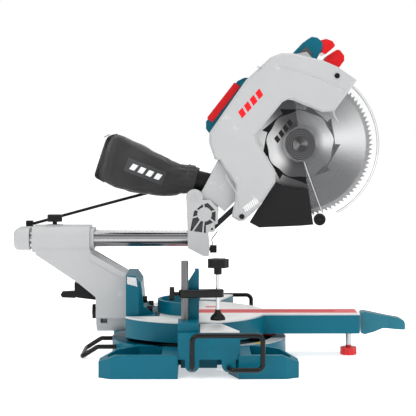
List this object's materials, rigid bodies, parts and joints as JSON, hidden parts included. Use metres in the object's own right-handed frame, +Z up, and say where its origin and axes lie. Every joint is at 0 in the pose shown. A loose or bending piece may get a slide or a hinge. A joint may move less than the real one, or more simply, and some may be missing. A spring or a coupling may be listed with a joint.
{
  "type": "sliding mitre saw",
  "caption": "Sliding mitre saw with turntable, tilting rail arm, hinged head, guarded blade, fence, work clamp, extension loops and dust bag.",
  "frame": {"origin": "turntable pivot axis on the bench plane, at the centre of the bench bolt holes", "axes": "+Z up along the pivot axis, +X towards the user, +Y to the motor side"},
  "size_m": [0.6869, 0.552, 0.5605],
  "materials": {
    "teal_paint": "satin enamel",
    "teal_plastic": "moulded",
    "silver_paint": "satin silver paint",
    "machined_plate": "milled",
    "chrome_rod": "polished",
    "blade_steel": "ground",
    "plain_steel": "turned",
    "black_steel": "black oxide",
    "black_plastic": "moulded",
    "red_plastic": "moulded",
    "grey_plastic": "moulded",
    "clear_guard": "clear moulded",
    "black_rubber": "moulded",
    "bag_fabric": "woven"
  },
  "bodies": {
    "base": {"base_casting": "teal_paint", "wing_plates": "machined_plate", "mitre_scale": "machined_plate", "fence": "teal_paint", "base_bolts": "black_steel", "stabiliser_bar": "black_steel", "clamp_post": "plain_steel"},
    "bar_right": {"extension_bar_right": "black_steel"},
    "bar_left": {"extension_bar_left": "black_steel"},
    "clamp": {"clamp_arm": "black_steel", "clamp_lock_knob": "black_plastic"},
    "clamp_screw": {"clamp_screw": "chrome_rod", "clamp_knob": "black_plastic", "clamp_pad": "black_plastic"},
    "turntable": {"turntable": "teal_paint", "table_plate": "machined_plate", "kerf_board": "red_plastic", "mitre_pointer": "red_plastic", "trunnion_bolts": "black_steel"},
    "front_foot": {"front_foot": "red_plastic"},
    "mitre_handle": {"mitre_handle": "grey_plastic"},
    "bevel_arm": {"bevel_arm": "silver_paint", "slide_bearings": "plain_steel"},
    "bevel_lever": {"bevel_lever": "black_plastic"},
    "slide_lock": {"slide_lock_knob": "black_plastic"},
    "carriage": {"slide_rails": "chrome_rod", "rail_end_cap": "silver_paint", "hinge_bracket": "silver_paint", "hinge_pin": "plain_steel", "lead_holders": "black_plastic", "lead": "black_rubber"},
    "head_lock": {"head_lock_pin": "black_plastic"},
    "guard_link": {"guard_link": "black_steel"},
    "head": {"head_casting": "silver_paint", "guard_cover": "silver_paint", "cover_screws": "black_steel", "deflector": "black_plastic", "dust_port": "black_plastic", "spindle_bearing": "plain_steel", "belt_cover": "black_plastic", "motor_housing": "black_plastic", "motor_stator": "plain_steel", "main_handle": "teal_plastic", "main_grip": "red_plastic", "handle_plate": "machined_plate", "carry_handle": "teal_plastic", "carry_grip": "red_plastic", "bag_collar": "black_plastic", "dust_bag": "bag_fabric", "drive_belt": "black_rubber"},
    "blade": {"spindle": "plain_steel", "blade_flanges": "blade_steel", "arbor_bolt": "blade_steel", "saw_blade": "blade_steel", "spindle_pulley": "plain_steel"},
    "armature": {"motor_armature": "plain_steel", "motor_pulley": "plain_steel"},
    "lower_guard": {"lower_guard": "clear_guard"},
    "guard_roller": {"guard_roller": "black_plastic"},
    "trigger": {"trigger": "red_plastic"}
  },
  "joints": [
    {"name": "mitre", "type": "hinge", "parent": "base", "child": "turntable", "pos_m": [0, 0, 0.077], "axis": [0, 0, 1], "range_deg": [-47, 47]},
    {"name": "extension_right", "type": "slide", "parent": "base", "child": "bar_right", "axis": [0, 1, 0], "range_m": [0, 0.035]},
    {"name": "extension_left", "type": "slide", "parent": "base", "child": "bar_left", "axis": [0, -1, 0], "range_m": [0, 0.035]},
    {"name": "clamp_height", "type": "slide", "parent": "base", "child": "clamp", "axis": [0, 0, 1], "range_m": [-0.009, 0.04]},
    {"name": "clamp_travel", "type": "slide", "parent": "clamp", "child": "clamp_screw", "axis": [0, 0, 1], "range_m": [0, 0.018]},
    {"name": "front_foot_travel", "type": "slide", "parent": "turntable", "child": "front_foot", "axis": [0, 0, 1], "range_m": [0, 0.015]},
    {"name": "mitre_lock", "type": "hinge", "parent": "turntable", "child": "mitre_handle", "pos_m": [0.284, 0, 0.06], "axis": [1, 0, 0], "range_deg": [0, 60]},
    {"name": "bevel", "type": "hinge", "parent": "turntable", "child": "bevel_arm", "pos_m": [-0.126, 0, 0.077], "axis": [-1, 0, 0], "range_deg": [-45, 0]},
    {"name": "bevel_lock", "type": "hinge", "parent": "bevel_arm", "child": "bevel_lever", "pos_m": [-0.18, 0, 0.107], "axis": [1, 0, 0], "range_deg": [-45, 0]},
    {"name": "slide_lock", "type": "hinge", "parent": "bevel_arm", "child": "slide_lock", "pos_m": [-0.2537, 0, 0.24], "axis": [0, 0, 1], "range_deg": [0, 180]},
    {"name": "head_slide", "type": "slide", "parent": "bevel_arm", "child": "carriage", "axis": [1, 0, 0], "range_m": [-0.155, 0]},
    {"name": "head_lock", "type": "slide", "parent": "carriage", "child": "head_lock", "axis": [1, 0, 0], "range_m": [0, 0.01]},
    {"name": "head_tilt", "type": "hinge", "parent": "carriage", "child": "head", "pos_m": [-0.0079, 0, 0.2796], "axis": [0, 1, 0], "range_deg": [0, 49], "stiffness_Nm_per_rad": 40, "springref_deg": -34.38},
    {"name": "guard_link_swing", "type": "hinge", "parent": "carriage", "child": "guard_link", "pos_m": [0.0225, -0.031, 0.225], "axis": [0, 1, 0], "range_deg": [0, 25]},
    {"name": "blade_spin", "type": "hinge", "parent": "head", "child": "blade", "pos_m": [0.1774, 0, 0.3714], "axis": [0, 1, 0], "continuous": true},
    {"name": "armature_spin", "type": "hinge", "parent": "head", "child": "armature", "pos_m": [0.12, 0.1, 0.455], "axis": [0, 1, 0], "continuous": true},
    {"name": "guard_lift", "type": "hinge", "parent": "head", "child": "lower_guard", "pos_m": [0.1774, 0, 0.3714], "axis": [0, 1, 0], "range_deg": [-101, 1]},
    {"name": "roller_spin", "type": "hinge", "parent": "lower_guard", "child": "guard_roller", "pos_m": [0.2111, -0.017, 0.24016], "axis": [0, 1, 0], "continuous": true},
    {"name": "trigger_pull", "type": "hinge", "parent": "head", "child": "trigger", "pos_m": [0.222, 0.07, 0.52], "axis": [0, -1, 0], "range_deg": [0, 6], "stiffness_Nm_per_rad": 0.5}
  ],
  "couplings": [
    {"joint": "guard_link_swing", "follows": "head_tilt", "ratio": 0.5},
    {"joint": "guard_lift", "follows": "head_tilt", "ratio": -2.04},
    {"joint": "armature_spin", "follows": "blade_spin", "ratio": 1.8}
  ]
}
